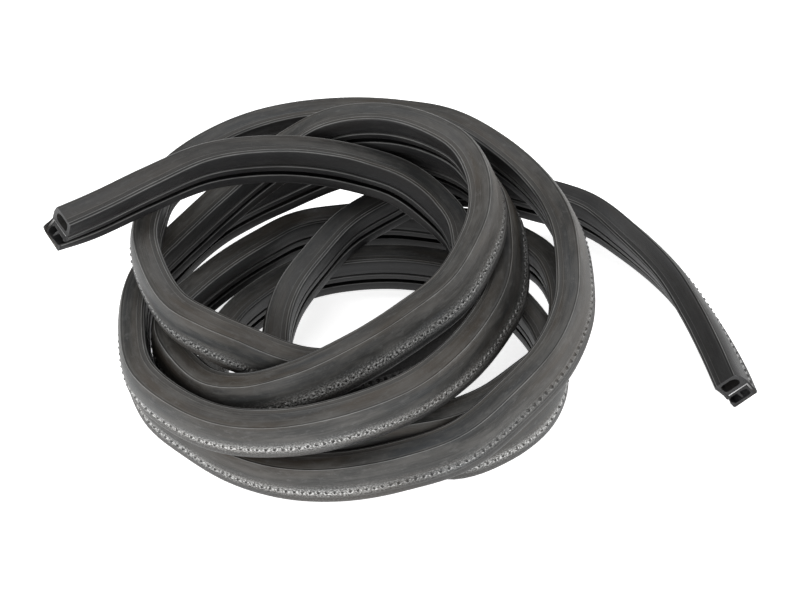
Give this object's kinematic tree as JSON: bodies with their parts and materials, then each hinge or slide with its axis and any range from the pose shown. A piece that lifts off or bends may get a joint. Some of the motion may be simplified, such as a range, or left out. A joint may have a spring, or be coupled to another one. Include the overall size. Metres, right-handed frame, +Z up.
{
  "type": "door seal",
  "caption": "Loosely coiled black rubber door seal: hollow bulb on a sideways grip channel with a moulded-in steel clip strip, both ends cut square.",
  "frame": {"origin": "under the middle of the coil's outer box, on the floor that the coil lies on", "axes": "+Z up from the floor; +X towards the free end that lies on the floor; +Y away from the viewer of the picture"},
  "size_m": [0.3822, 0.254, 0.114],
  "materials": {
    "black_rubber": "dull extruded rubber with chalky wear",
    "bright_steel": "bright sheared edge"
  },
  "bodies": {
    "root": {"rubber_profile": "black_rubber", "steel_strip": "bright_steel"}
  },
  "joints": []
}
